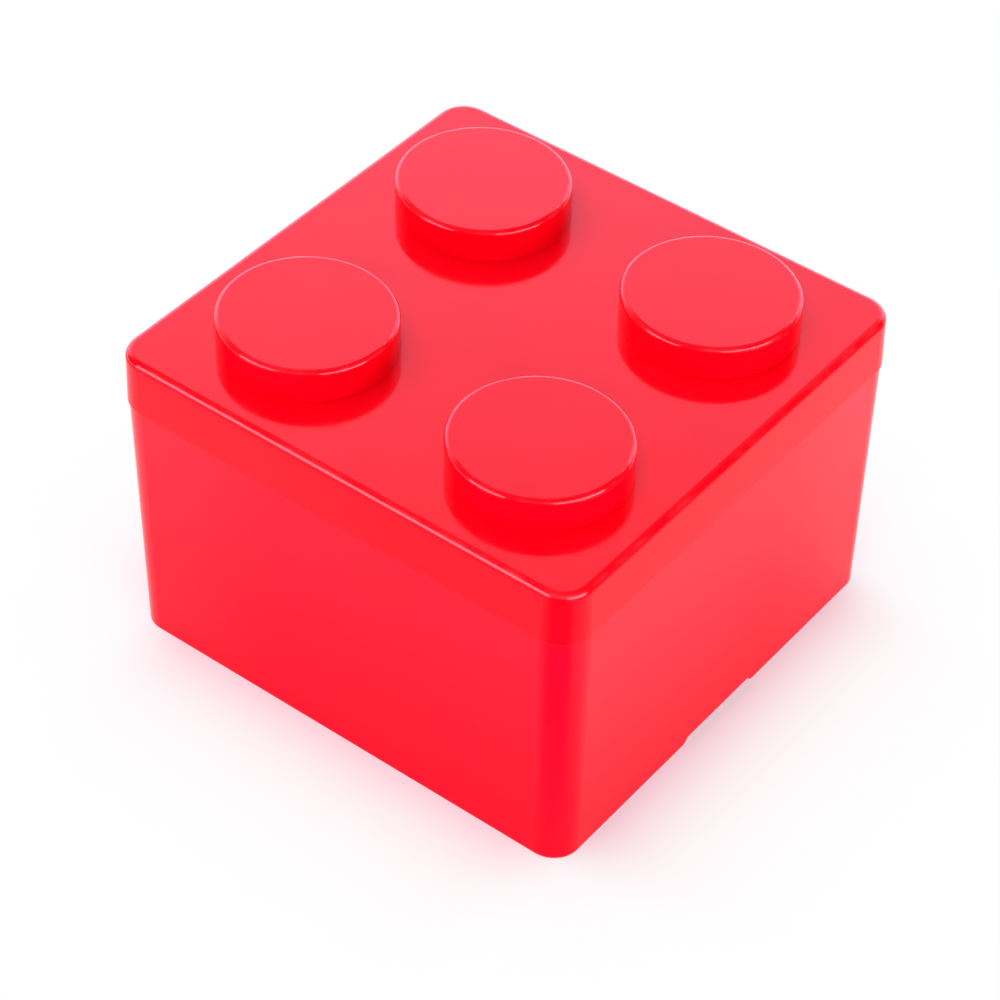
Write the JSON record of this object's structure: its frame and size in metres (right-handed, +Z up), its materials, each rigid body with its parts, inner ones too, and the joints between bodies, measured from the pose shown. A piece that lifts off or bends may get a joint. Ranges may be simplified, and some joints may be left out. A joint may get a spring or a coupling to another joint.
{
  "type": "toy brick storage box",
  "caption": "Square lidded storage box shaped like a toy building brick: a tapered open box, a lift-off lid with round studs on top, and sockets underneath for stacking.",
  "frame": {"origin": "centre of the plane that the foot stands on", "axes": "+Z up through the studs, -Y towards the front, +X and -X towards the sides with the finger notches"},
  "size_m": [0.1254, 0.1254, 0.0895],
  "materials": {
    "red_plastic": "gloss"
  },
  "bodies": {
    "box": {"box": "red_plastic"},
    "lid": {"lid": "red_plastic"}
  },
  "joints": [
    {"name": "lid_lift", "type": "slide", "parent": "box", "child": "lid", "axis": [0, 0, 1], "range_m": [0, 0.112]}
  ]
}
